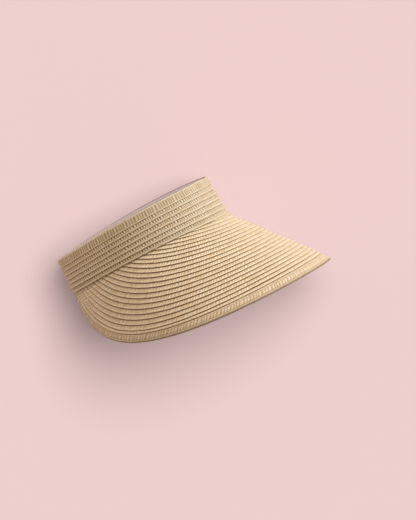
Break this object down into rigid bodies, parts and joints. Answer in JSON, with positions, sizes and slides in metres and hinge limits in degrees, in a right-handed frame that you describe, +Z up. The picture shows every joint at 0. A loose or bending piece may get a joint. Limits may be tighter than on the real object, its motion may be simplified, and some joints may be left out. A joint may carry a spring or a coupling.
{
  "type": "sun visor",
  "caption": "Wide-brimmed straw sun visor: lapped rows of flat braid form an open-crown head band and a sloping brim, closed at the back by a hook-and-loop tab.",
  "frame": {"origin": "centre of the base of the visor's box, on the surface that the brim's edge stands on", "axes": "+X the way the wearer faces, +Y to the wearer's left, +Z up"},
  "size_m": [0.2958, 0.2734, 0.1516],
  "materials": {
    "paper_straw": "plaited matt paper straw, natural tan",
    "sweatband_cotton": "pale woven cotton",
    "tab_webbing": "tan woven webbing",
    "hook_tape": "nylon hook tape",
    "loop_tape": "brushed nylon loop tape"
  },
  "bodies": {
    "visor": {"brim_row_01": "paper_straw", "brim_row_02": "paper_straw", "brim_row_03": "paper_straw", "brim_row_04": "paper_straw", "brim_row_05": "paper_straw", "brim_row_06": "paper_straw", "brim_row_07": "paper_straw", "brim_row_08": "paper_straw", "brim_row_09": "paper_straw", "brim_row_10": "paper_straw", "brim_row_11": "paper_straw", "brim_row_12": "paper_straw", "brim_row_13": "paper_straw", "brim_row_14": "paper_straw", "brim_row_15": "paper_straw", "brim_row_16": "paper_straw", "brim_row_17": "paper_straw", "brim_row_18": "paper_straw", "brim_row_19": "paper_straw", "brim_row_20": "paper_straw", "brim_row_21": "paper_straw", "brim_row_22": "paper_straw", "brim_edge_row": "paper_straw", "brim_edge_cord": "paper_straw", "band_row_1": "paper_straw", "band_row_2": "paper_straw", "band_row_3": "paper_straw", "band_row_4": "paper_straw", "band_row_5": "paper_straw", "band_row_6": "paper_straw", "band_top_row": "paper_straw", "sweatband": "sweatband_cotton", "closure_tab_base": "tab_webbing", "loop_pad": "loop_tape"},
    "tab": {"closure_tab": "tab_webbing", "hook_pad": "hook_tape"}
  },
  "joints": [
    {"name": "closure_hinge", "type": "hinge", "parent": "visor", "child": "tab", "pos_m": [-0.1419, 0.01655, 0.10325], "axis": [-0.0611, -0.011, 0.9981], "range_deg": [0, 100]}
  ]
}
